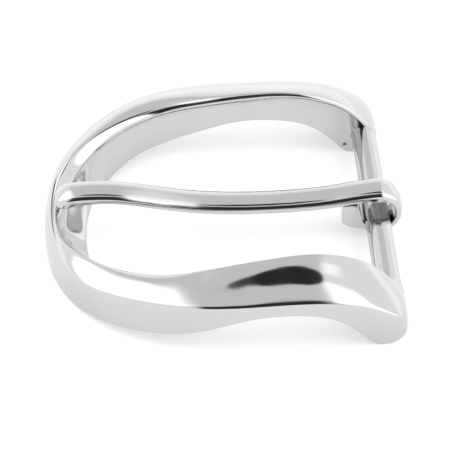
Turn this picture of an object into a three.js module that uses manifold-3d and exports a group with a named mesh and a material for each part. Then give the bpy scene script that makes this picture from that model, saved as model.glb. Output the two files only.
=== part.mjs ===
import * as THREE from 'three';
import { mergeVertices } from 'three/addons/utils/BufferGeometryUtils.js';
import Module from 'manifold-3d';

// A heel-bar belt buckle for a 35 mm strap, in millimetres with +Z up. It stands on its front rim
// and two heel feet at Z = 0. +X runs from the front rim to the heel bar, and the buckle is the
// same on both sides of Y = 0. It has three pieces: the cast frame, the heel bar held between the
// frame's two rails, and the prong, whose eye is closed round the bar.

// Plan of the frame, measured from the middle of the buckle's length.
const FRONT_X = -25.9;              // outermost point of the front rim
const HEEL_X = 24.05;               // ends of the two rails
const HALF_WIDTH = 25.65;           // outer wall at its widest
const WIDEST_X = 3.2;
const OUTLINE_POWER_X = 2.5;        // the outline is close to an ellipse, a little fuller
const OUTLINE_POWER_Y = 2.1;
const HEEL_TAPER = 0.0014;          // how the outer walls close in behind the widest point, per mm
const WINDOW_CENTRE_X = -4.8;       // the front of the window is a half circle about this point
const WINDOW_RADIUS = 18.5;
const STRAP_HALF_WIDTH = 17.6;      // half the gap between the rails at the heel

// Heights of the frame along X.
const UNDERSIDE = [
  [-21.2, 0], [-19.2, 0.3], [-14.9, 1.3], [-8.2, 2.5], [-3.7, 3.75], [0.8, 5.25], [5.1, 6.05],
  [9.6, 6], [14.1, 4.85], [16.3, 3.3], [18.2, 1.35], [19.3, 0.25], [19.9, 0],
];
const INNER_CREST = [
  [-23.4, 6.6], [-16.2, 7.35], [-8.9, 8.4], [-1.2, 9.85], [4.8, 10.75], [9.3, 11.05], [13.3, 10.7],
  [17.3, 9.55], [20, 7.9], [22.2, 5.75], [24.05, 4],
];
const OUTER_CREST = [
  [-25.9, 3.3], [-24.2, 4.7], [-21.6, 5.6], [-14.4, 7.1], [-6.7, 7.8], [1.8, 8.1], [9.2, 8.3],
  [14.8, 7.95], [19.2, 6.75], [21.8, 5.4], [24.05, 4.25],
];

// Section of the frame.
const TOP_CROWN = 0.6;              // how far the top stands above a straight line between crests
const BEVEL_RAIL = 1;               // soft bevel between the top and the window wall
const BEVEL_RAIL_TILT = 64;         // its slope, degrees below level
const BEVEL_HEEL = 0.6;
const BEVEL_FADE_FROM = 4;          // the bevel narrows between these two places along X
const BEVEL_FADE_TO = 13;
const BEVEL_CORNER = 0.35;          // share of the bevel that its upper corner takes
const BEVEL_LOWER_CORNER = 0.5;
const BEVEL_FRONT = 2.2;
const BEVEL_FRONT_TILT = 48;
const OUTER_EDGE_RAIL = 0.4;        // rounding of the outer crest along the rails
const OUTER_EDGE_FRONT = 1.2;       // and at the front rim
const BASE_EDGE = 0.3;
const FRONT_DRAFT = 3.5;            // how far the window wall leans in at the front rim

// Rounded ends of the rails.
const CAP_LENGTH = 3.2;
const CAP_BASE_RISE = 1.5;
const CAP_INNER_DROP = 0.9;
const CAP_OUTER_DROP = 1.3;
const CAP_CORNER = 1.6;
const CAP_INNER_CORNER = 0.5;

// Heel bar: an oval bar with a round spigot at each end, set in a blind socket in each rail.
const BAR_X = 22.1;
const BAR_Z = 3.2;
const BAR_HALF_WIDTH = 1.87;
const BAR_HALF_HEIGHT = 1.45;
const SPIGOT_RADIUS = 0.9;
const SPIGOT_DEPTH = 3;
const GAP = 0.25;                   // between pieces that touch on the real buckle

// Prong, seen from the side: its underside from the tip to the eye, then the eye round the bar.
const PRONG_HALF_WIDTH = 2.2;
const PRONG_TIP_X = -24.1;
const PRONG_UNDERSIDE = [
  [-24.1, 6.55], [-22.6, 7.05], [-20.5, 7.5], [-17.2, 7.7], [-11.2, 6.75], [-5.2, 5.55], [1.3, 4.9],
  [9.3, 4.9], [15.3, 5.4], [19, 6], [22.3, 6.4],
];
const PRONG_THICKNESS = 1.5;
const PRONG_THICKER_TIP = 0.4;      // added at the tip, gone by PRONG_EVEN_X
const PRONG_EVEN_X = -17;
const PRONG_TOP_TILT = 10;          // lean of the crowned top where it meets a shoulder, degrees
const PRONG_SHOULDER = 1;           // rounding between the top and the sides
const PRONG_EDGE = 0.2;
const TIP_LENGTH = 1.6;             // rounded end of the prong
const TIP_START = 0.12;             // where the rounding starts, as a share of its quarter turn
const TIP_RISE = 0.35;              // how far the end lies above the underside, in thicknesses
const TIP_END_HEIGHT = 0.3;         // height and half-width of the very end, as shares
const TIP_END_WIDTH = 0.25;
const EYE_X = 22.3;
const EYE_Z = 3.95;
const EYE_RADIUS = 2.45;
const EYE_WALL = 1.15;              // wall of the eye at the back and underneath
const EYE_TURN = 262;               // how far the eye runs round before it becomes the tail, degrees
const EYE_THINNED = 0.36;           // share of the eye by which its wall is down to EYE_WALL
const TAIL_FROM = 0.66;             // share of the eye from which its outside runs into the tail
const TAIL_X = 17;                  // the eye's end, folded back under the prong
const TAIL_LENGTH = 2.6;
const TAIL_LOW_Z = 1.9;
const TAIL_BELLY = 0.8;             // how far the tail hangs below its end
const TAIL_SWELL = 0.22;            // how much wider it is than the prong, on each side
const TAIL_GAP = 0.25;              // seam between the folded end and the prong

const FRONT_STEPS = 18;
const RAIL_STEPS = 20;
const CAP_STEPS = 6;

/** The natural cubic spline through a few points, as a function of x. */
function smoothCurve(points) {
  const last = points.length - 1;
  const bend = new Array(last + 1).fill(0);
  const rest = new Array(last + 1).fill(0);
  for (let i = 1; i < last; i += 1) {
    const before = points[i][0] - points[i - 1][0];
    const after = points[i + 1][0] - points[i][0];
    const share = before / (before + after);
    const pivot = share * bend[i - 1] + 2;
    const slopeAfter = (points[i + 1][1] - points[i][1]) / after;
    const slopeBefore = (points[i][1] - points[i - 1][1]) / before;
    bend[i] = (share - 1) / pivot;
    rest[i] = (6 * (slopeAfter - slopeBefore) / (before + after) - share * rest[i - 1]) / pivot;
  }
  for (let i = last - 1; i > 0; i -= 1) {
    bend[i] = bend[i] * bend[i + 1] + rest[i];
  }
  return (x) => {
    let i = 1;
    while (i < last && x > points[i][0]) {
      i += 1;
    }
    const width = points[i][0] - points[i - 1][0];
    const a = (points[i][0] - x) / width;
    const b = (x - points[i - 1][0]) / width;
    const sag = ((a ** 3 - a) * bend[i - 1] + (b ** 3 - b) * bend[i]) * width * width / 6;
    return a * points[i - 1][1] + b * points[i][1] + sag;
  };
}

const undersideCurve = smoothCurve(UNDERSIDE);
const innerCrest = smoothCurve(INNER_CREST);
const outerCrest = smoothCurve(OUTER_CREST);
const prongUnderside = smoothCurve(PRONG_UNDERSIDE);

/** Height of the frame's underside: flat under the front rim and under the heel feet. */
function underside(x) {
  const first = UNDERSIDE[0][0];
  const final = UNDERSIDE[UNDERSIDE.length - 1][0];
  return x <= first || x >= final ? 0 : Math.max(0, undersideCurve(x));
}

/** How far the point (x, y) lies outside the front part of the outline: 1 on the outline. */
function outlineMeasure(x, y) {
  const along = Math.abs(x - WIDEST_X) / (WIDEST_X - FRONT_X);
  return along ** OUTLINE_POWER_X + (Math.abs(y) / HALF_WIDTH) ** OUTLINE_POWER_Y;
}

/** Half-width of the outer wall at x. */
function outerHalfWidth(x) {
  if (x > WIDEST_X) {
    return HALF_WIDTH - HEEL_TAPER * (x - WIDEST_X) ** 2;
  }
  const along = (WIDEST_X - x) / (WIDEST_X - FRONT_X);
  return HALF_WIDTH * (1 - along ** OUTLINE_POWER_X) ** (1 / OUTLINE_POWER_Y);
}

/** Half-width of the window at x, behind its half-round front. */
function windowHalfWidth(x) {
  const run = Math.min(1, (x - WINDOW_CENTRE_X) / (BAR_X - WINDOW_CENTRE_X));
  return WINDOW_RADIUS - (WINDOW_RADIUS - STRAP_HALF_WIDTH) * run * run * (3 - 2 * run);
}

/** Distance from the window's centre to the outline, along a ray at an angle from -X. */
function outlineRadius(angle) {
  let near = WINDOW_RADIUS;
  let far = 2 * HALF_WIDTH;
  for (let i = 0; i < 50; i += 1) {
    const middle = (near + far) / 2;
    const x = WINDOW_CENTRE_X - middle * Math.cos(angle);
    const y = middle * Math.sin(angle);
    if (outlineMeasure(x, y) > 1) {
      far = middle;
    } else {
      near = middle;
    }
  }
  return near;
}

/** Points of a smooth corner from one point and direction to another. */
function corner(from, fromWay, to, toWay, steps) {
  const reach = 0.55 * Math.hypot(to[0] - from[0], to[1] - from[1]) / Math.SQRT2;
  const curve = new THREE.CubicBezierCurve(
    new THREE.Vector2(...from),
    new THREE.Vector2(from[0] + fromWay[0] * reach, from[1] + fromWay[1] * reach),
    new THREE.Vector2(to[0] - toWay[0] * reach, to[1] - toWay[1] * reach),
    new THREE.Vector2(...to),
  );
  return curve.getPoints(steps).map((point) => [point.x, point.y]);
}

/**
 * One section of the frame, from the outer wall (0) inwards: base, outer wall, crowned top and
 * window wall.
 */
function frameSection({ width, draft, base, outer, inner, edge, bevel, tilt, inset = 0 }) {
  const rise = inner - outer;
  const top = (t) => [
    inset + width * t,
    outer + rise * t + TOP_CROWN * 4 * t * (1 - t),
  ];
  const way = (t) => {
    const slope = new THREE.Vector2(width, rise + TOP_CROWN * 4 * (1 - 2 * t)).normalize();
    return [slope.x, slope.y];
  };
  const wall = new THREE.Vector2(draft, base - inner).normalize();
  const start = edge / width;
  const lean = THREE.MathUtils.degToRad(tilt);
  const down = [Math.cos(lean), -Math.sin(lean)];
  const run = bevel * down[0];
  const end = 1 - (run + BEVEL_CORNER * bevel) / width;
  const shoulder = [inset + width - run, top(1 - run / width)[1]];
  const onBevel = (share) => [shoulder[0] + run * share, shoulder[1] + bevel * down[1] * share];
  const bevelFoot = onBevel(1);
  const reach = BEVEL_LOWER_CORNER * bevel;
  const wallTop = [bevelFoot[0] + wall.x * reach, bevelFoot[1] + wall.y * reach];
  const wallFoot = inset + width + draft;
  const points = [[inset + BASE_EDGE, base], [inset, base + BASE_EDGE]];
  points.push(...corner([inset, outer - edge], [0, 1], top(start), way(start), 4));
  for (let i = 1; i < 6; i += 1) {
    points.push(top(start + (end - start) * i / 6));
  }
  points.push(...corner(top(end), way(end), onBevel(BEVEL_CORNER), down, 3));
  points.push(...corner(onBevel(1 - BEVEL_CORNER), down, wallTop, [wall.x, wall.y], 3));
  points.push([wallFoot - wall.x * BASE_EDGE, base - wall.y * BASE_EDGE]);
  points.push([wallFoot - BASE_EDGE, base]);
  return points;
}

/** Sections of one half of the frame, from the middle of the front rim to the end of a rail. */
function frameStations() {
  const stations = [];
  for (let i = 0; i < FRONT_STEPS; i += 1) {
    const angle = Math.PI / 2 * i / FRONT_STEPS;
    const radius = outlineRadius(angle);
    const across = [Math.cos(angle), -Math.sin(angle)];
    const place = [WINDOW_CENTRE_X - radius * across[0], -radius * across[1]];
    const width = radius - WINDOW_RADIUS;
    const front = Math.cos(angle) ** 2;
    const crestX = WINDOW_CENTRE_X - WINDOW_RADIUS * across[0];
    const section = frameSection({
      width,
      draft: FRONT_DRAFT * front,
      base: underside(place[0] + width / 2 * across[0]),
      outer: outerCrest(place[0]),
      inner: innerCrest(crestX),
      edge: OUTER_EDGE_RAIL + (OUTER_EDGE_FRONT - OUTER_EDGE_RAIL) * front,
      bevel: BEVEL_RAIL + (BEVEL_FRONT - BEVEL_RAIL) * front,
      tilt: BEVEL_RAIL_TILT + (BEVEL_FRONT_TILT - BEVEL_RAIL_TILT) * front,
    });
    stations.push(section.map(([t, z]) => [place[0] + across[0] * t, place[1] + across[1] * t, z]));
  }
  const footX = UNDERSIDE[UNDERSIDE.length - 1][0];
  const capX = HEEL_X - CAP_LENGTH;
  for (let i = 0; i <= RAIL_STEPS + CAP_STEPS; i += 1) {
    const turn = Math.PI / 2 * Math.max(0, i - RAIL_STEPS) / CAP_STEPS;
    const along = WINDOW_CENTRE_X + (footX - WINDOW_CENTRE_X) * i / (RAIL_STEPS - 1);
    const x = i < RAIL_STEPS ? along : capX + CAP_LENGTH * Math.sin(turn);
    const closing = 1 - Math.cos(turn);
    const y = outerHalfWidth(x);
    const inset = CAP_CORNER * closing;
    const fade = THREE.MathUtils.smoothstep(x, BEVEL_FADE_FROM, BEVEL_FADE_TO);
    const section = frameSection({
      width: y - windowHalfWidth(x) - inset - CAP_INNER_CORNER * closing,
      draft: 0,
      base: underside(x) + CAP_BASE_RISE * closing,
      outer: outerCrest(x) - CAP_OUTER_DROP * closing,
      inner: innerCrest(x) - CAP_INNER_DROP * closing,
      edge: OUTER_EDGE_RAIL,
      bevel: BEVEL_RAIL + (BEVEL_HEEL - BEVEL_RAIL) * fade,
      tilt: BEVEL_RAIL_TILT,
      inset,
    });
    stations.push(section.map(([t, z]) => [x, y - t, z]));
  }
  return stations;
}

/** Skins a row of closed sections and closes both ends. */
function loft(sections) {
  const size = sections[0].length;
  const positions = sections.flat(2);
  const index = [];
  for (let i = 0; i + 1 < sections.length; i += 1) {
    for (let j = 0; j < size; j += 1) {
      const a = i * size + j;
      const b = i * size + (j + 1) % size;
      index.push(a, b, a + size, b, b + size, a + size);
    }
  }
  for (const end of [0, sections.length - 1]) {
    const middle = [0, 1, 2].map((k) => sections[end].reduce((sum, p) => sum + p[k], 0) / size);
    const centre = positions.length / 3;
    positions.push(...middle);
    for (let j = 0; j < size; j += 1) {
      const a = end * size + j;
      const b = end * size + (j + 1) % size;
      index.push(...(end === 0 ? [b, a, centre] : [a, b, centre]));
    }
  }
  const geometry = new THREE.BufferGeometry();
  geometry.setAttribute('position', new THREE.Float32BufferAttribute(positions, 3));
  geometry.setIndex(signedVolume(positions, index) < 0 ? index.reverse() : index);
  return geometry;
}

function signedVolume(positions, index) {
  const corners = [new THREE.Vector3(), new THREE.Vector3(), new THREE.Vector3()];
  let sum = 0;
  for (let i = 0; i < index.length; i += 3) {
    corners.forEach((point, k) => point.fromArray(positions, 3 * index[i + k]));
    sum += corners[0].dot(corners[1].clone().cross(corners[2])) / 6;
  }
  return sum;
}

const wasm = await Module();
wasm.setup();

/** A closed three.js geometry as a manifold-3d solid. */
function toSolid(source) {
  const bare = source.clone();
  bare.deleteAttribute('normal');
  bare.deleteAttribute('uv');
  const merged = mergeVertices(bare, 1e-5);
  return new wasm.Manifold(new wasm.Mesh({
    numProp: 3,
    vertProperties: new Float32Array(merged.attributes.position.array),
    triVerts: new Uint32Array(merged.index.array),
  }));
}

function toGeometry(solid) {
  const mesh = solid.getMesh();
  const geometry = new THREE.BufferGeometry();
  geometry.setAttribute('position', new THREE.BufferAttribute(mesh.vertProperties, 3));
  geometry.setIndex(new THREE.BufferAttribute(mesh.triVerts, 1));
  return geometry;
}

/** The cast frame, with a blind socket in each rail for the heel bar's spigots. */
function frameGeometry() {
  const half = frameStations();
  const mirrored = half.slice(1).map((section) => section.map(([x, y, z]) => [x, -y, z]));
  let solid = toSolid(loft([...mirrored.reverse(), ...half]));
  const depth = SPIGOT_DEPTH + 2 * GAP;
  for (const side of [-1, 1]) {
    const socket = new THREE.CylinderGeometry(SPIGOT_RADIUS + GAP, SPIGOT_RADIUS + GAP, 2 * depth, 32);
    socket.translate(BAR_X, side * windowHalfWidth(BAR_X), BAR_Z);
    solid = solid.subtract(toSolid(socket));
  }
  return toGeometry(solid);
}

/** The heel bar, in one piece with its two spigots. */
function barGeometry() {
  const length = 2 * (STRAP_HALF_WIDTH - GAP);
  const shaft = new THREE.CylinderGeometry(1, 1, length, 48);
  shaft.scale(BAR_HALF_WIDTH, 1, BAR_HALF_HEIGHT);
  const spigots = new THREE.CylinderGeometry(
    SPIGOT_RADIUS,
    SPIGOT_RADIUS,
    length + 2 * SPIGOT_DEPTH,
    32,
  );
  return toGeometry(toSolid(shaft).add(toSolid(spigots)));
}

function prongThickness(x) {
  const thicker = 1 - THREE.MathUtils.smoothstep(x, PRONG_TIP_X, PRONG_EVEN_X);
  return PRONG_THICKNESS + PRONG_THICKER_TIP * thicker;
}

/** Underside of the folded tail, from under the eye (0) to its cut end (1). */
function tailOuter(share) {
  const left = 1 - share;
  return [TAIL_X + TAIL_LENGTH * left, TAIL_LOW_Z - TAIL_BELLY * left * (1 + 0.7 * share)];
}

/** Side view of the prong: pairs of inner and outer points, from the tip round the eye. */
function prongStations() {
  const stations = [];
  const tipTurns = 5;
  for (let i = 0; i <= tipTurns; i += 1) {
    const turn = Math.PI / 2 * (TIP_START + (1 - TIP_START) * i / tipTurns);
    const x = PRONG_TIP_X + TIP_LENGTH * (1 - Math.cos(turn));
    const size = Math.sin(turn);
    const thickness = prongThickness(x);
    const low = prongUnderside(x) + TIP_RISE * thickness * (1 - size);
    stations.push({
      inner: [x, low],
      outer: [x, low + thickness * (TIP_END_HEIGHT + (1 - TIP_END_HEIGHT) * size)],
      halfWidth: PRONG_HALF_WIDTH * (TIP_END_WIDTH + (1 - TIP_END_WIDTH) * size),
    });
  }
  const shaftSteps = 30;
  const shaftStart = PRONG_TIP_X + TIP_LENGTH;
  for (let i = 1; i < shaftSteps; i += 1) {
    const x = shaftStart + (EYE_X - shaftStart) * i / shaftSteps;
    const slope = (prongUnderside(x + 0.1) - prongUnderside(x - 0.1)) / 0.2;
    const length = Math.hypot(1, slope);
    const thickness = prongThickness(x);
    const inner = [x, prongUnderside(x)];
    const outer = [x - slope / length * thickness, inner[1] + thickness / length];
    stations.push({ inner, outer, halfWidth: PRONG_HALF_WIDTH });
  }
  const eyeSteps = 22;
  const eyeTurn = THREE.MathUtils.degToRad(EYE_TURN);
  for (let i = 0; i <= eyeSteps; i += 1) {
    const share = i / eyeSteps;
    const turn = eyeTurn * share;
    const way = [Math.sin(turn), Math.cos(turn)];
    const thinning = THREE.MathUtils.smoothstep(share, 0, EYE_THINNED);
    const wall = PRONG_THICKNESS + (EYE_WALL - PRONG_THICKNESS) * thinning;
    const tail = THREE.MathUtils.smoothstep(share, TAIL_FROM, 1);
    const outer = [EYE_X + way[0] * (EYE_RADIUS + wall), EYE_Z + way[1] * (EYE_RADIUS + wall)];
    const tailStart = tailOuter(0);
    stations.push({
      inner: [EYE_X + way[0] * EYE_RADIUS, EYE_Z + way[1] * EYE_RADIUS],
      outer: outer.map((value, k) => value + (tailStart[k] - value) * tail),
      halfWidth: PRONG_HALF_WIDTH + TAIL_SWELL * tail,
    });
  }
  const seamX = EYE_X - EYE_RADIUS - 0.5;
  const tailSteps = 4;
  for (let i = 0; i <= tailSteps; i += 1) {
    const share = i / tailSteps;
    const x = seamX + (TAIL_X - seamX) * share;
    stations.push({
      inner: [x, prongUnderside(x) - TAIL_GAP],
      outer: tailOuter(share),
      halfWidth: PRONG_HALF_WIDTH + TAIL_SWELL * (1 - 2 * share * share),
    });
  }
  return stations;
}

/** One section of the prong: flat inside, upright sides, round shoulders and a crowned top. */
function prongSection({ inner, outer, halfWidth }) {
  const height = Math.hypot(outer[0] - inner[0], outer[1] - inner[1]);
  const way = [(outer[0] - inner[0]) / height, (outer[1] - inner[1]) / height];
  const shoulder = Math.min(PRONG_SHOULDER, 0.65 * height, 0.7 * halfWidth);
  const edge = Math.min(PRONG_EDGE, 0.3 * halfWidth);
  const tilt = THREE.MathUtils.degToRad(PRONG_TOP_TILT);
  const flat = halfWidth - shoulder * (1 - Math.sin(tilt));
  const crown = flat / Math.sin(tilt) * (1 - Math.cos(tilt));
  const centreY = halfWidth - shoulder;
  const centreUp = height - crown - shoulder * Math.cos(tilt);
  const lowTurn = THREE.MathUtils.degToRad(84);
  const shoulderSteps = 4;
  const round = [];
  for (let i = 0; i <= shoulderSteps; i += 1) {
    const turn = lowTurn + (tilt - lowTurn) * i / shoulderSteps;
    round.push([centreY + shoulder * Math.sin(turn), centreUp + shoulder * Math.cos(turn)]);
  }
  const right = [[halfWidth - edge, 0], [halfWidth, edge], ...round];
  const left = right.map(([y, up]) => [-y, up]).reverse();
  const points = [...right, [0, height], ...left];
  return points.map(([y, up]) => [inner[0] + way[0] * up, y, inner[1] + way[1] * up]);
}

/** A polished, nickel-plated piece. */
function piece(name, geometry, colour) {
  const flat = geometry.index ? geometry.toNonIndexed() : geometry;
  flat.computeVertexNormals();
  const material = new THREE.MeshStandardMaterial({ color: colour, roughness: 0.08, metalness: 1 });
  const mesh = new THREE.Mesh(flat, material);
  mesh.name = name;
  return mesh;
}

const buckle = new THREE.Group();
buckle.add(piece('frame', frameGeometry(), 0xdcdcda));

const heelBar = piece('heel_bar', barGeometry(), 0xd8d8d6);
heelBar.position.set(BAR_X, 0, BAR_Z);
buckle.add(heelBar);

buckle.add(piece('prong', loft(prongStations().map(prongSection)), 0xdededc));

export default buckle;
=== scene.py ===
import math

import bmesh
import bpy
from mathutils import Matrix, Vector


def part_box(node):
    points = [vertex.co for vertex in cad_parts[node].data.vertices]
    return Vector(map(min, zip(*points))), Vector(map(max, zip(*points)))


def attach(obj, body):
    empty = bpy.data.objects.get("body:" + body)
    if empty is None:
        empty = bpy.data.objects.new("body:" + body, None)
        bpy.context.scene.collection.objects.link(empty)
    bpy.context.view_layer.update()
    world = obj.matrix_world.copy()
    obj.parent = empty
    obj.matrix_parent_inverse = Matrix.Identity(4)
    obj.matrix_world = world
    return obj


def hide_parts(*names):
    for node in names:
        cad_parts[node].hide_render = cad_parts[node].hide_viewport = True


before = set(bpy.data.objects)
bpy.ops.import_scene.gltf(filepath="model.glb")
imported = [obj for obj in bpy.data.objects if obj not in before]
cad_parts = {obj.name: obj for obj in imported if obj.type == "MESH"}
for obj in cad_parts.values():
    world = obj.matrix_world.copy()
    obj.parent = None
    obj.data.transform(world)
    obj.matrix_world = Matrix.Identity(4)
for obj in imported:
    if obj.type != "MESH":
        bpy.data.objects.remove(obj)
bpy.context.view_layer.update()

# A polished heel-bar belt buckle. The frame, the heel bar and the prong are made again here as fine
# subdivision surfaces on the CAD's own curves, because a mirror finish shows every facet.
# Shapes are worked out in millimetres and turned into metres when a mesh is made. The camera and the
# floor are in metres.

MM = 0.001


def corner_mm(node):
    """A CAD node's lowest and highest corners in millimetres."""
    low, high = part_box(node)
    return low / MM, high / MM


frame_low, frame_high = corner_mm("frame")
prong_low = corner_mm("prong")[0]

# Plan of the frame.
FRONT_X = frame_low.x               # outermost point of the front rim
HEEL_X = frame_high.x               # ends of the two rails
HALF_WIDTH = 25.65                  # outer wall at its widest
WIDEST_X = 3.2
OUTLINE_POWER_X = 2.5               # the outline is close to an ellipse, a little fuller
OUTLINE_POWER_Y = 2.1
HEEL_TAPER = 0.0014                 # how the outer walls close in behind the widest point, per mm
WINDOW_CENTRE_X = -4.8              # the front of the window is a half circle about this point
WINDOW_RADIUS = 18.5
STRAP_HALF_WIDTH = 17.6             # half the gap between the rails at the heel

# Heights of the frame along X.
UNDERSIDE = [
    (-21.2, 0), (-19.2, 0.3), (-14.9, 1.3), (-8.2, 2.5), (-3.7, 3.75), (0.8, 5.25), (5.1, 6.05),
    (9.6, 6), (14.1, 4.85), (16.3, 3.3), (18.2, 1.35), (19.3, 0.25), (19.9, 0),
]
INNER_CREST = [
    (-23.4, 6.6), (-16.2, 7.35), (-8.9, 8.4), (-1.2, 9.85), (4.8, 10.75), (9.3, 11.05),
    (13.3, 10.7), (17.3, 9.55), (20, 7.9), (22.2, 5.75), (24.05, 4),
]
OUTER_CREST = [
    (-25.9, 3.3), (-24.2, 4.7), (-21.6, 5.6), (-14.4, 7.1), (-6.7, 7.8), (1.8, 8.1),
    (9.2, 8.3), (14.8, 7.95), (19.2, 6.75), (21.8, 5.4), (24.05, 4.25),
]

# Section of the frame.
TOP_CROWN = 0.6                     # how far the top stands above a straight line between crests
BEVEL_RAIL = 1                      # soft bevel between the top and the window wall
BEVEL_RAIL_TILT = 64                # its slope, degrees below level
BEVEL_HEEL = 0.6
BEVEL_FADE_FROM = 4                 # the bevel narrows between these two places along X
BEVEL_FADE_TO = 13
BEVEL_CORNER = 0.35                 # share of the bevel that its upper corner takes
BEVEL_FLAT_TO = 0.6                 # share at which its lower corner begins
BEVEL_LOWER_CORNER = 0.5            # how far that corner reaches down the wall, in bevels
BEVEL_FRONT = 2.2
BEVEL_FRONT_TILT = 48
OUTER_EDGE_RAIL = 0.4               # rounding of the outer crest along the rails
OUTER_EDGE_FRONT = 1.2              # and at the front rim
BASE_EDGE = 0.3
FRONT_DRAFT = 3.5                   # how far the window wall leans in at the front rim

# Rounded ends of the rails.
CAP_LENGTH = 3.2
CAP_BASE_RISE = 1.5
CAP_INNER_DROP = 0.9
CAP_OUTER_DROP = 1.3
CAP_CORNER = 1.6
CAP_INNER_CORNER = 0.5

# Heel bar.
BAR_X = 22.1
BAR_Z = 3.2
BAR_HALF_WIDTH = 1.87
BAR_HALF_HEIGHT = 1.45
BAR_IN_RAIL = 1.4                   # how far the bar runs on inside each rail
BAR_FLARE = 0.15                    # how much it swells where it meets a rail
BAR_FLARE_LENGTH = 1

# Prong.
PRONG_HALF_WIDTH = 2.2
PRONG_TIP_X = prong_low.x
PRONG_UNDERSIDE = [
    (-24.1, 6.55), (-22.6, 7.05), (-20.5, 7.5), (-17.2, 7.7), (-11.2, 6.75), (-5.2, 5.55),
    (1.3, 4.9), (9.3, 4.9), (15.3, 5.4), (19, 6), (22.3, 6.4),
]
PRONG_THICKNESS = 1.5
PRONG_THICKER_TIP = 0.4             # added at the tip, gone by PRONG_EVEN_X
PRONG_EVEN_X = -17
PRONG_TOP_TILT = 13                 # lean of the crowned top where it meets a shoulder, degrees
PRONG_SHOULDER = 1                  # rounding between the top and the sides
PRONG_SHOULDER_HEIGHT = 0.65        # the most of the height, and of the half-width, that it takes
PRONG_SHOULDER_WIDTH = 0.7
PRONG_SIDE_TILT = 84                # lean of the surface where a shoulder meets its side, degrees
PRONG_EDGE = 0.2
PRONG_EDGE_WIDTH = 0.3              # the most of the half-width that the edge takes
TIP_LENGTH = 1.6                    # rounded end of the prong
TIP_START = 0.12                    # where the rounding starts, as a share of its quarter turn
TIP_RISE = 0.35                     # how far the end lies above the underside, in thicknesses
TIP_END_HEIGHT = 0.3                # height and half-width of the very end, as shares
TIP_END_WIDTH = 0.25
EYE_X = 22.3
EYE_Z = 3.95
EYE_RADIUS = 2.45
EYE_WALL = 1.15                     # wall of the eye at the back and underneath
EYE_TURN = 262                      # how far the eye runs before it becomes the tail, degrees
EYE_THINNED = 0.36                  # share of the eye by which its wall is down to EYE_WALL
TAIL_FROM = 0.66                    # share of the eye from which its outside runs into the tail
SEAM_AHEAD = 0.5                    # where the seam under the prong starts, ahead of the eye's hole
TAIL_X = 17                         # the eye's end, folded back under the prong
TAIL_LENGTH = 2.6
TAIL_LOW_Z = 1.9
TAIL_GAP = 0.12                     # seam between the folded end and the prong
TAIL_BELLY = 0.8                    # how far the tail hangs below its end
TAIL_BELLY_HOLD = 0.7               # how long the belly keeps its depth towards the end
TAIL_SWELL = 0.22                   # how much wider it is than the prong, on each side

# Camera and studio.
CAMERA_AZIMUTH = -3.2
CAMERA_ELEVATION = 40
CAMERA_DISTANCE = 0.3333
CAMERA_TARGET = (0.00023, 0, 0.0013)
CAMERA_LENS = 184
CAMERA_SENSOR = 36
FLOOR_SIZE = 6
FLOOR_TONE = 0.7
FLOOR_GLOW = 0.38


# ---------------------------------------------------------------- curves and meshes

ROUND_REACH = 0.55                  # length of a rounded corner's handles that makes it a quarter round
SLOPE_STEP = 0.1                    # half the length over which a curve's slope is measured


def smooth_curve(points):
    """The natural cubic spline through a few points, as a function of x."""
    last = len(points) - 1
    bend = [0.0] * (last + 1)
    rest = [0.0] * (last + 1)
    for i in range(1, last):
        before = points[i][0] - points[i - 1][0]
        after = points[i + 1][0] - points[i][0]
        share = before / (before + after)
        pivot = share * bend[i - 1] + 2
        slope_after = (points[i + 1][1] - points[i][1]) / after
        slope_before = (points[i][1] - points[i - 1][1]) / before
        bend[i] = (share - 1) / pivot
        rest[i] = (6 * (slope_after - slope_before) / (before + after) - share * rest[i - 1]) / pivot
    for i in range(last - 1, 0, -1):
        bend[i] = bend[i] * bend[i + 1] + rest[i]

    def value(x):
        i = 1
        while i < last and x > points[i][0]:
            i += 1
        width = points[i][0] - points[i - 1][0]
        a = (points[i][0] - x) / width
        b = (x - points[i - 1][0]) / width
        sag = ((a ** 3 - a) * bend[i - 1] + (b ** 3 - b) * bend[i]) * width * width / 6
        return a * points[i - 1][1] + b * points[i][1] + sag

    return value


underside_curve = smooth_curve(UNDERSIDE)
inner_crest = smooth_curve(INNER_CREST)
outer_crest = smooth_curve(OUTER_CREST)
prong_underside = smooth_curve(PRONG_UNDERSIDE)


def smoothstep(value, low, high):
    """0 below low, 1 above high, and a smooth rise between them."""
    t = min(1, max(0, (value - low) / (high - low)))
    return t * t * (3 - 2 * t)


def spread(start, end, steps):
    """Points on a straight line, without its first point."""
    return [
        tuple(a + (b - a) * i / steps for a, b in zip(start, end))
        for i in range(1, steps + 1)
    ]


def rounded(start, start_way, end, end_way, steps):
    """Points of a smooth corner between two points and directions, without its first point."""
    reach = ROUND_REACH * math.dist(start, end) / math.sqrt(2)
    knots = [
        start,
        tuple(p + reach * w for p, w in zip(start, start_way)),
        tuple(p - reach * w for p, w in zip(end, end_way)),
        end,
    ]
    points = []
    for i in range(1, steps + 1):
        t = i / steps
        shares = ((1 - t) ** 3, 3 * t * (1 - t) ** 2, 3 * t * t * (1 - t), t ** 3)
        points.append(tuple(sum(s * k[axis] for s, k in zip(shares, knots)) for axis in (0, 1)))
    return points


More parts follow.
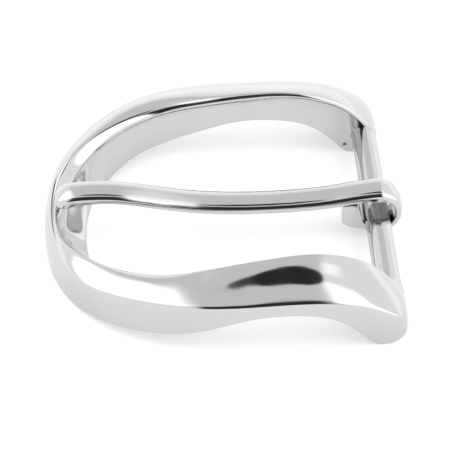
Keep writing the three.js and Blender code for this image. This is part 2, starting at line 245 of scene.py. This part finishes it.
def end_patch(bm, ring, across, up, outward):
    """Closes the end of a tube with a grid of quads: the ring has across + up + across + up edges."""
    corners = [ring[0], ring[across], ring[across + up], ring[2 * across + up]]
    low = ring[:across + 1]
    right = ring[across:across + up + 1]
    high = ring[across + up:2 * across + up + 1][::-1]
    left = ([ring[0]] + ring[2 * across + up:][::-1])[:up + 1]
    grid = []
    for j in range(up + 1):
        row = []
        for i in range(across + 1):
            if j == 0:
                row.append(low[i])
            elif j == up:
                row.append(high[i])
            elif i == 0:
                row.append(left[j])
            elif i == across:
                row.append(right[j])
            else:
                u, v = i / across, j / up
                place = (
                    low[i].co * (1 - v) + high[i].co * v + left[j].co * (1 - u) + right[j].co * u
                    - corners[0].co * (1 - u) * (1 - v) - corners[1].co * u * (1 - v)
                    - corners[2].co * u * v - corners[3].co * (1 - u) * v
                )
                row.append(bm.verts.new(place))
        grid.append(row)
    for j in range(up):
        for i in range(across):
            quad = [grid[j][i], grid[j][i + 1], grid[j + 1][i + 1], grid[j + 1][i]]
            bm.faces.new(quad if outward else quad[::-1])


def tube_mesh(name, sections, across, up):
    """A closed mesh through a row of sections given in millimetres, its ends closed with grids."""
    bm = bmesh.new()
    rings = [[bm.verts.new(Vector(point) * MM) for point in section] for section in sections]
    size = len(rings[0])
    for first, second in zip(rings, rings[1:]):
        for j in range(size):
            k = (j + 1) % size
            bm.faces.new((first[j], first[k], second[k], second[j]))
    end_patch(bm, rings[0], across, up, False)
    end_patch(bm, rings[-1], across, up, True)
    bmesh.ops.recalc_face_normals(bm, faces=bm.faces)
    mesh = bpy.data.meshes.new(name)
    bm.to_mesh(mesh)
    bm.free()
    mesh.shade_smooth()
    return mesh


def add_piece(name, mesh, body, node, levels):
    """Links a piece that stands for a CAD node, subdivided and riding on its body."""
    piece = bpy.data.objects.new(name, mesh)
    bpy.context.scene.collection.objects.link(piece)
    fine = piece.modifiers.new("fine surface", "SUBSURF")
    fine.levels = levels
    fine.render_levels = levels
    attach(piece, body)
    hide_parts(node)
    return piece


# ---------------------------------------------------------------- frame

TOP_EDGE_STEPS = 4
TOP_STEPS = 8
BEVEL_STEPS = 3
ACROSS = TOP_EDGE_STEPS + TOP_STEPS + 3 * BEVEL_STEPS
BASE_EDGE_STEPS = 3
WALL_STEPS = 4
UP = BASE_EDGE_STEPS + WALL_STEPS
FRONT_STATIONS = 30
RAIL_STATIONS = 28
CAP_STATIONS = 9
OUTLINE_HALVINGS = 50


def underside(x):
    """Height of the frame's underside: flat under the front rim and under the heel feet."""
    if x <= UNDERSIDE[0][0] or x >= UNDERSIDE[-1][0]:
        return 0
    return max(0, underside_curve(x))


def outer_half_width(x):
    if x > WIDEST_X:
        return HALF_WIDTH - HEEL_TAPER * (x - WIDEST_X) ** 2
    along = (WIDEST_X - x) / (WIDEST_X - FRONT_X)
    return HALF_WIDTH * (1 - along ** OUTLINE_POWER_X) ** (1 / OUTLINE_POWER_Y)


def window_half_width(x):
    """Half-width of the window at x, behind its half-round front."""
    run = min(1, (x - WINDOW_CENTRE_X) / (BAR_X - WINDOW_CENTRE_X))
    return WINDOW_RADIUS - (WINDOW_RADIUS - STRAP_HALF_WIDTH) * run * run * (3 - 2 * run)


def outline_radius(angle):
    """Distance from the window's centre to the outline, along a ray at an angle from -X."""
    near, far = WINDOW_RADIUS, 2 * HALF_WIDTH
    for _ in range(OUTLINE_HALVINGS):
        middle = (near + far) / 2
        x = WINDOW_CENTRE_X - middle * math.cos(angle)
        y = middle * math.sin(angle)
        along = abs(x - WIDEST_X) / (WIDEST_X - FRONT_X)
        if along ** OUTLINE_POWER_X + (y / HALF_WIDTH) ** OUTLINE_POWER_Y > 1:
            far = middle
        else:
            near = middle
    return near


def frame_section(width, draft, base, outer, inner, edge, bevel, tilt, inset=0.0):
    """One section of the frame, from the outer wall (0) inwards: base, window wall, top, outer wall."""
    rise = inner - outer

    def top(t):
        return (inset + width * t, outer + rise * t + TOP_CROWN * 4 * t * (1 - t))

    def way(t):
        slope = rise + TOP_CROWN * 4 * (1 - 2 * t)
        length = math.hypot(width, slope)
        return (width / length, slope / length)

    lean = math.radians(tilt)
    down = (math.cos(lean), -math.sin(lean))
    run = bevel * down[0]
    fall = math.hypot(draft, base - inner)
    wall = (draft / fall, (base - inner) / fall)
    start = edge / width
    end = 1 - (run + BEVEL_CORNER * bevel) / width
    shoulder = (inset + width - run, top(1 - run / width)[1])
    foot_of_bevel = (inset + width, shoulder[1] - bevel * math.sin(lean))
    on_bevel = [tuple(p + (q - p) * share for p, q in zip(shoulder, foot_of_bevel))
                for share in (BEVEL_CORNER, BEVEL_FLAT_TO)]
    wall_top = tuple(p + w * BEVEL_LOWER_CORNER * bevel for p, w in zip(foot_of_bevel, wall))
    foot = (inset + width + draft, base)
    above_foot = (foot[0] - wall[0] * BASE_EDGE, foot[1] - wall[1] * BASE_EDGE)
    inside_foot = (foot[0] - BASE_EDGE, base)
    outer_foot = (inset + BASE_EDGE, base)
    above_outer_foot = (inset, base + BASE_EDGE)
    outer_top = (inset, outer - edge)

    points = [outer_foot]
    points += spread(outer_foot, inside_foot, ACROSS)
    points += rounded(inside_foot, (1, 0), above_foot, (-wall[0], -wall[1]), BASE_EDGE_STEPS)
    points += spread(above_foot, wall_top, WALL_STEPS)
    up_bevel = (-down[0], -down[1])
    points += rounded(wall_top, (-wall[0], -wall[1]), on_bevel[1], up_bevel, BEVEL_STEPS)
    points += spread(on_bevel[1], on_bevel[0], BEVEL_STEPS)
    points += rounded(on_bevel[0], up_bevel, top(end), tuple(-w for w in way(end)), BEVEL_STEPS)
    points += [top(end + (start - end) * i / TOP_STEPS) for i in range(1, TOP_STEPS + 1)]
    points += rounded(top(start), tuple(-w for w in way(start)), outer_top, (0, -1),
                      TOP_EDGE_STEPS)
    points += spread(outer_top, above_outer_foot, WALL_STEPS)
    points += rounded(above_outer_foot, (0, -1), outer_foot, (1, 0), BASE_EDGE_STEPS)[:-1]
    return points


def frame_stations():
    """Sections of one half of the frame, from the middle of the front rim to the end of a rail."""
    stations = []
    for i in range(FRONT_STATIONS):
        angle = math.pi / 2 * i / FRONT_STATIONS
        radius = outline_radius(angle)
        across = (math.cos(angle), -math.sin(angle))
        place = (WINDOW_CENTRE_X - radius * across[0], -radius * across[1])
        width = radius - WINDOW_RADIUS
        front = math.cos(angle) ** 2
        section = frame_section(
            width=width,
            draft=FRONT_DRAFT * front,
            base=underside(place[0] + width / 2 * across[0]),
            outer=outer_crest(place[0]),
            inner=inner_crest(WINDOW_CENTRE_X - WINDOW_RADIUS * across[0]),
            edge=OUTER_EDGE_RAIL + (OUTER_EDGE_FRONT - OUTER_EDGE_RAIL) * front,
            bevel=BEVEL_RAIL + (BEVEL_FRONT - BEVEL_RAIL) * front,
            tilt=BEVEL_RAIL_TILT + (BEVEL_FRONT_TILT - BEVEL_RAIL_TILT) * front,
        )
        stations.append([(place[0] + across[0] * t, place[1] + across[1] * t, z) for t, z in section])
    cap_x = HEEL_X - CAP_LENGTH
    for i in range(RAIL_STATIONS + CAP_STATIONS + 1):
        turn = math.pi / 2 * max(0, i - RAIL_STATIONS) / CAP_STATIONS
        along = min(1, i / RAIL_STATIONS)
        x = WINDOW_CENTRE_X + (cap_x - WINDOW_CENTRE_X) * along + CAP_LENGTH * math.sin(turn)
        closing = 1 - math.cos(turn)
        fade = smoothstep(x, BEVEL_FADE_FROM, BEVEL_FADE_TO)
        y = outer_half_width(x)
        inset = CAP_CORNER * closing
        section = frame_section(
            width=y - window_half_width(x) - inset - CAP_INNER_CORNER * closing,
            draft=0,
            base=underside(x) + CAP_BASE_RISE * closing,
            outer=outer_crest(x) - CAP_OUTER_DROP * closing,
            inner=inner_crest(x) - CAP_INNER_DROP * closing,
            edge=OUTER_EDGE_RAIL,
            bevel=BEVEL_RAIL + (BEVEL_HEEL - BEVEL_RAIL) * fade,
            tilt=BEVEL_RAIL_TILT,
            inset=inset,
        )
        stations.append([(x, y - t, z) for t, z in section])
    return stations


def make_frame():
    half = frame_stations()
    mirrored = [[(x, -y, z) for x, y, z in section] for section in half[:0:-1]]
    mesh = tube_mesh("cast_frame", mirrored + half, ACROSS, UP)
    return add_piece("cast_frame", mesh, "frame", "frame", 2)


# ---------------------------------------------------------------- heel bar

BAR_SIDES = 32
BAR_STATIONS = 96


def make_bar():
    """The oval bar, its ends inside the rails. Each ring starts an eighth of a turn early, which puts
    the corners of its end grid on the diagonals."""
    reach = STRAP_HALF_WIDTH + BAR_IN_RAIL
    quarter = BAR_SIDES // 4
    sections = []
    for i in range(BAR_STATIONS + 1):
        y = -reach + 2 * reach * i / BAR_STATIONS
        flare = BAR_FLARE * max(0, 1 - (STRAP_HALF_WIDTH - abs(y)) / BAR_FLARE_LENGTH) ** 2
        wide = BAR_HALF_WIDTH + min(flare, BAR_FLARE)
        high = BAR_HALF_HEIGHT + min(flare, BAR_FLARE)
        ring = []
        for j in range(BAR_SIDES):
            turn = 2 * math.pi * (j / BAR_SIDES - 1 / 8)
            ring.append((BAR_X + wide * math.sin(turn), y, BAR_Z - high * math.cos(turn)))
        sections.append(ring)
    mesh = tube_mesh("strap_bar", sections, quarter, quarter)
    return add_piece("strap_bar", mesh, "frame", "heel_bar", 1)


# ---------------------------------------------------------------- prong

SHOULDER_STEPS = 5
PRONG_TOP_STEPS = 4
PRONG_ACROSS = 2 * SHOULDER_STEPS + PRONG_TOP_STEPS
PRONG_EDGE_STEPS = 2
PRONG_SIDE_STEPS = 3
PRONG_UP = PRONG_EDGE_STEPS + PRONG_SIDE_STEPS
TIP_STATIONS = 8
SHAFT_STATIONS = 50
EYE_STATIONS = 40
TAIL_STATIONS = 8


def prong_thickness(x):
    return PRONG_THICKNESS + PRONG_THICKER_TIP * (1 - smoothstep(x, PRONG_TIP_X, PRONG_EVEN_X))


def tail_outer(share):
    """Underside of the folded tail, from under the eye (0) to its cut end (1)."""
    left = 1 - share
    belly = TAIL_BELLY * left * (1 + TAIL_BELLY_HOLD * share)
    return (TAIL_X + TAIL_LENGTH * left, TAIL_LOW_Z - belly)


def prong_stations():
    """Side view of the prong: inner point, outer point and half-width, from the tip round the eye."""
    stations = []
    for i in range(TIP_STATIONS + 1):
        turn = math.pi / 2 * (TIP_START + (1 - TIP_START) * i / TIP_STATIONS)
        x = PRONG_TIP_X + TIP_LENGTH * (1 - math.cos(turn))
        size = math.sin(turn)
        thickness = prong_thickness(x)
        low = prong_underside(x) + TIP_RISE * thickness * (1 - size)
        high = low + thickness * (TIP_END_HEIGHT + (1 - TIP_END_HEIGHT) * size)
        half_width = PRONG_HALF_WIDTH * (TIP_END_WIDTH + (1 - TIP_END_WIDTH) * size)
        stations.append(((x, low), (x, high), half_width))
    shaft_start = PRONG_TIP_X + TIP_LENGTH
    for i in range(1, SHAFT_STATIONS):
        x = shaft_start + (EYE_X - shaft_start) * i / SHAFT_STATIONS
        rise = prong_underside(x + SLOPE_STEP) - prong_underside(x - SLOPE_STEP)
        slope = rise / (2 * SLOPE_STEP)
        length = math.hypot(1, slope)
        inner = (x, prong_underside(x))
        thickness = prong_thickness(x)
        outer = (x - slope / length * thickness, inner[1] + thickness / length)
        stations.append((inner, outer, PRONG_HALF_WIDTH))
    for i in range(EYE_STATIONS + 1):
        share = i / EYE_STATIONS
        turn = math.radians(EYE_TURN) * share
        way = (math.sin(turn), math.cos(turn))
        thinned = smoothstep(share, 0, EYE_THINNED)
        wall = PRONG_THICKNESS + (EYE_WALL - PRONG_THICKNESS) * thinned
        tail = smoothstep(share, TAIL_FROM, 1)
        ring = [c + w * (EYE_RADIUS + wall) for c, w in zip((EYE_X, EYE_Z), way)]
        outer = tuple(r + (t - r) * tail for r, t in zip(ring, tail_outer(0)))
        inner = tuple(c + w * EYE_RADIUS for c, w in zip((EYE_X, EYE_Z), way))
        stations.append((inner, outer, PRONG_HALF_WIDTH + TAIL_SWELL * tail))
    seam_x = EYE_X - EYE_RADIUS - SEAM_AHEAD
    for i in range(TAIL_STATIONS + 1):
        share = i / TAIL_STATIONS
        x = seam_x + (TAIL_X - seam_x) * share
        inner = (x, prong_underside(x) - TAIL_GAP)
        half_width = PRONG_HALF_WIDTH + TAIL_SWELL * (1 - 2 * share * share)
        stations.append((inner, tail_outer(share), half_width))
    return stations


def prong_section(inner, outer, half_width):
    """One section of the prong: flat inside, upright sides and a crowned outside."""
    height = math.dist(inner, outer)
    way = ((outer[0] - inner[0]) / height, (outer[1] - inner[1]) / height)
    shoulder = min(
        PRONG_SHOULDER, PRONG_SHOULDER_HEIGHT * height, PRONG_SHOULDER_WIDTH * half_width,
    )
    edge = min(PRONG_EDGE, PRONG_EDGE_WIDTH * half_width)
    tilt = math.radians(PRONG_TOP_TILT)
    flat = half_width - shoulder * (1 - math.sin(tilt))
    crown = flat / math.sin(tilt) * (1 - math.cos(tilt))
    centre = (half_width - shoulder, height - crown - shoulder * math.cos(tilt))

    def on_shoulder(side, turn):
        return (side * (centre[0] + shoulder * math.sin(turn)), centre[1] + shoulder * math.cos(turn))

    def on_top(turn):
        return (flat * math.sin(turn) / math.sin(tilt),
                height - flat / math.sin(tilt) * (1 - math.cos(turn)))

    low_turn = math.radians(PRONG_SIDE_TILT)
    points = [(-half_width + edge, 0)]
    points += spread(points[0], (half_width - edge, 0), PRONG_ACROSS)
    points += rounded((half_width - edge, 0), (1, 0), (half_width, edge), (0, 1), PRONG_EDGE_STEPS)
    points += spread((half_width, edge), on_shoulder(1, low_turn), PRONG_SIDE_STEPS)
    points += [on_shoulder(1, low_turn + (tilt - low_turn) * i / SHOULDER_STEPS)
               for i in range(1, SHOULDER_STEPS + 1)]
    points += [on_top(tilt - 2 * tilt * i / PRONG_TOP_STEPS) for i in range(1, PRONG_TOP_STEPS + 1)]
    points += [on_shoulder(-1, tilt + (low_turn - tilt) * i / SHOULDER_STEPS)
               for i in range(1, SHOULDER_STEPS + 1)]
    points += spread(on_shoulder(-1, low_turn), (-half_width, edge), PRONG_SIDE_STEPS)
    points += rounded((-half_width, edge), (0, -1), (-half_width + edge, 0), (1, 0),
                      PRONG_EDGE_STEPS)[:-1]
    return [(inner[0] + way[0] * up, y, inner[1] + way[1] * up) for y, up in points]


def make_prong():
    sections = [prong_section(*station) for station in prong_stations()]
    mesh = tube_mesh("buckle_prong", sections, PRONG_ACROSS, PRONG_UP)
    return add_piece("buckle_prong", mesh, "prong", "prong", 2)


# ---------------------------------------------------------------- materials

SHADE_SPOT_PLACE = (19.3, 17.6, 1.6)       # painted shade: a small dark spot on the far rail's window wall, in the corner by the bar's root
SHADE_SPOT_RADIUS = 0.4
SHADE_SPOT_TONE = 0.25               # share of the plate's tone left in the middle of the painted shade spot
DULL_TONE = 0.965                   # share left in the duller patches
DULL_SCALE = 90
LINE_SCALE = 9000                   # hand-polishing lines, drawn out along one axis
LINE_STRETCH = 0.05
LINE_STRENGTH = 0.06
LINE_DEPTH = 0.02
SMUDGE_SCALE = 260
SMUDGE_HAZE = 0.05                  # roughness that smudges add
EDGE_WEAR = 0.06                    # roughness that rubbed edges add
WAVE_SCALE = 170
WAVE_HEIGHT = 0.08                  # height of the hand-polished surface's waves


def polished_plate(name, colour, roughness, line_axis, shade_spot=None):
    """Mirror-polished nickel plate: faint tone patches, fine polishing lines, a slightly wavy surface
    and rubbed edges. The shade spot, if there is one, is the place of a small painted shade that
    darkens the colour."""
    material = bpy.data.materials.new(name)
    material.use_nodes = True
    nodes = material.node_tree.nodes
    link = material.node_tree.links.new
    shader = nodes["Principled BSDF"]
    shader.inputs["Metallic"].default_value = 1
    place = nodes.new("ShaderNodeTexCoord").outputs["Object"]

    def noise(vector, scale, detail, roughness=0.5):
        node = nodes.new("ShaderNodeTexNoise")
        node.inputs["Scale"].default_value = scale
        node.inputs["Detail"].default_value = detail
        node.inputs["Roughness"].default_value = roughness
        link(vector, node.inputs["Vector"])
        return node.outputs["Fac"]

    def ranged(value, start, end, low, high):
        node = nodes.new("ShaderNodeMapRange")
        for socket, number in (
            ("From Min", start), ("From Max", end), ("To Min", low), ("To Max", high),
        ):
            node.inputs[socket].default_value = number
        link(value, node.inputs["Value"])
        return node.outputs["Result"]

    def bumped(height, strength, distance, normal=None):
        node = nodes.new("ShaderNodeBump")
        node.inputs["Strength"].default_value = strength
        node.inputs["Distance"].default_value = distance * MM
        link(height, node.inputs["Height"])
        if normal:
            link(normal, node.inputs["Normal"])
        return node.outputs["Normal"]

    patches = nodes.new("ShaderNodeValToRGB")
    dull, bright = patches.color_ramp.elements
    dull.position = 0.3
    dull.color = (*[c * DULL_TONE for c in colour], 1)
    bright.position = 0.7
    bright.color = (*colour, 1)
    link(noise(place, DULL_SCALE, 3), patches.inputs["Fac"])
    colour_out = patches.outputs["Color"]
    # painted shade: darkens the plate's colour in a small spot, fading out to its edge
    if shade_spot:
        away = nodes.new("ShaderNodeVectorMath")
        away.operation = "DISTANCE"
        away.inputs[1].default_value = [value * MM for value in shade_spot]
        link(place, away.inputs[0])
        painted_shade = ranged(
            away.outputs["Value"], SHADE_SPOT_RADIUS * 0.5 * MM, SHADE_SPOT_RADIUS * MM, SHADE_SPOT_TONE, 1,
        )
        darkened = nodes.new("ShaderNodeVectorMath")
        darkened.operation = "SCALE"
        link(colour_out, darkened.inputs[0])
        link(painted_shade, darkened.inputs["Scale"])
        colour_out = darkened.outputs["Vector"]
    link(colour_out, shader.inputs["Base Color"])

    smudges = noise(place, SMUDGE_SCALE, 5, 0.65)
    haze = ranged(smudges, 0.35, 0.75, roughness, roughness + SMUDGE_HAZE)
    edges = nodes.new("ShaderNodeNewGeometry").outputs["Pointiness"]
    wear = ranged(edges, 0.53, 0.62, 0, EDGE_WEAR)
    total = nodes.new("ShaderNodeMath")
    total.operation = "ADD"
    link(haze, total.inputs[0])
    link(wear, total.inputs[1])
    link(total.outputs["Value"], shader.inputs["Roughness"])

    stretch = nodes.new("ShaderNodeMapping")
    stretch.inputs["Scale"].default_value = [
        LINE_STRETCH if axis == line_axis else 1 for axis in "XYZ"
    ]
    link(place, stretch.inputs["Vector"])
    lines = noise(stretch.outputs["Vector"], LINE_SCALE, 2)
    wavy = bumped(noise(place, WAVE_SCALE, 1), 1, WAVE_HEIGHT)
    link(bumped(lines, LINE_STRENGTH, LINE_DEPTH, wavy), shader.inputs["Normal"])
    return material


# ---------------------------------------------------------------- studio

def make_floor():
    """The table: translucent white, lit a little from below, which washes out most shadows."""
    mesh = bpy.data.meshes.new("floor")
    half = FLOOR_SIZE / 2
    corners = [(-half, -half, 0), (half, -half, 0), (half, half, 0), (-half, half, 0)]
    mesh.from_pydata(corners, [], [(0, 1, 2, 3)])
    floor = bpy.data.objects.new("floor", mesh)
    bpy.context.scene.collection.objects.link(floor)
    material = bpy.data.materials.new("pale_floor")
    material.use_nodes = True
    shader = material.node_tree.nodes["Principled BSDF"]
    shader.inputs["Base Color"].default_value = (FLOOR_TONE, FLOOR_TONE, FLOOR_TONE, 1)
    shader.inputs["Roughness"].default_value = 0.9
    shader.inputs["Specular IOR Level"].default_value = 0
    shader.inputs["Emission Color"].default_value = (1, 1, 1, 1)
    shader.inputs["Emission Strength"].default_value = FLOOR_GLOW
    mesh.materials.append(material)


# Patches painted on the light tent, later ones over earlier ones: tilt towards +X from and to, tilt
# towards +Y from and to (both from straight up, in degrees), softness of the edge, brightness.
TENT_BRIGHTNESS = 1.25
TENT_PATCHES = [
    (-90, 90, 68, 100, 8, 1.5),     # back wall above the table
    (-85, -12, -25, 45, 3, 2.1),    # left softbox
    (15, 85, -70, 3, 3, 2.1),       # right softbox
    (13, 24, 14, 30, 3, 1.7),       # its folded flap
    (-12, 15, -22, 60, 3, 0.93),    # strip between the softboxes
    (-15, 15, -78, -19, 4, 0.04),   # open front of the tent, with the camera
]
# The oval hole above: the same two tilts of its middle, its two half-widths, and its slant.
TENT_HOLE = (4.5, 10.3, 11.2, 12.5, 0.3)
TENT_HOLE_BRIGHTNESS = 0.03
TENT_HOLE_SOFTNESS = 0.04


def make_world():
    world = bpy.data.worlds.new("light_tent")
    bpy.context.scene.world = world
    world.use_nodes = True
    nodes = world.node_tree.nodes
    link = world.node_tree.links.new

    def maths(operation, *values):
        node = nodes.new("ShaderNodeMath")
        node.operation = operation
        for socket, value in zip(node.inputs, values):
            if isinstance(value, bpy.types.NodeSocket):
                link(value, socket)
            else:
                socket.default_value = value
        return node.outputs[0]

    def soft_step(value, start, end):
        node = nodes.new("ShaderNodeMapRange")
        node.interpolation_type = "SMOOTHSTEP"
        node.inputs["From Min"].default_value = start
        node.inputs["From Max"].default_value = end
        link(value, node.inputs["Value"])
        return node.outputs["Result"]

    def band(value, low, high, soft):
        rising = soft_step(value, low - soft, low + soft)
        falling = soft_step(value, high + soft, high - soft)
        return maths("MULTIPLY", rising, falling)

    def painted(below, level, mask):
        return maths("ADD", below, maths("MULTIPLY", mask, maths("SUBTRACT", level, below)))

    place = nodes.new("ShaderNodeTexCoord")
    axes = nodes.new("ShaderNodeSeparateXYZ")
    link(place.outputs["Generated"], axes.inputs["Vector"])
    side = maths("DEGREES", maths("ARCSINE", axes.outputs["X"]))
    over = maths("DEGREES", maths("ARCTAN2", axes.outputs["Y"], axes.outputs["Z"]))

    light = TENT_BRIGHTNESS
    for side_from, side_to, over_from, over_to, soft, level in TENT_PATCHES:
        mask = maths("MULTIPLY", band(side, side_from, side_to, soft),
                     band(over, over_from, over_to, soft))
        light = painted(light, level, mask)
    hole_side, hole_over, hole_wide, hole_long, hole_slant = TENT_HOLE
    off_middle = maths("SUBTRACT", side, hole_side)
    across = maths("DIVIDE", off_middle, hole_wide)
    level_over = maths("ADD", over, maths("MULTIPLY", off_middle, hole_slant))
    along = maths("DIVIDE", maths("SUBTRACT", level_over, hole_over), hole_long)
    away = maths("SQRT", maths("ADD", maths("POWER", across, 2), maths("POWER", along, 2)))
    hole = soft_step(away, 1 + TENT_HOLE_SOFTNESS, 1 - TENT_HOLE_SOFTNESS)
    light = painted(light, TENT_HOLE_BRIGHTNESS, hole)
    background = nodes["Background"]
    background.inputs["Color"].default_value = (1, 1, 1, 1)
    link(light, background.inputs["Strength"])


def make_camera():
    azimuth, elevation = math.radians(CAMERA_AZIMUTH), math.radians(CAMERA_ELEVATION)
    back = Vector((
        math.sin(azimuth) * math.cos(elevation),
        -math.cos(azimuth) * math.cos(elevation),
        math.sin(elevation),
    ))
    data = bpy.data.cameras.new("camera")
    data.lens = CAMERA_LENS
    data.sensor_width = CAMERA_SENSOR
    camera = bpy.data.objects.new("camera", data)
    camera.location = Vector(CAMERA_TARGET) + CAMERA_DISTANCE * back
    camera.rotation_euler = (-back).to_track_quat("-Z", "Y").to_euler()
    bpy.context.scene.collection.objects.link(camera)
    bpy.context.scene.camera = camera


make_camera()
make_world()
make_floor()
bpy.context.scene.view_settings.view_transform = "Standard"

NICKEL = (0.56, 0.56, 0.557)
DARKER_NICKEL = (0.55, 0.55, 0.547)
for made, finish in (
    (make_frame(), polished_plate("frame_nickel", NICKEL, 0.06, "X", SHADE_SPOT_PLACE)),
    (make_bar(), polished_plate("bar_nickel", DARKER_NICKEL, 0.1, "Y")),
    (make_prong(), polished_plate("prong_nickel", NICKEL, 0.07, "X")),
):
    made.data.materials.append(finish)

bpy.context.view_layer.update()
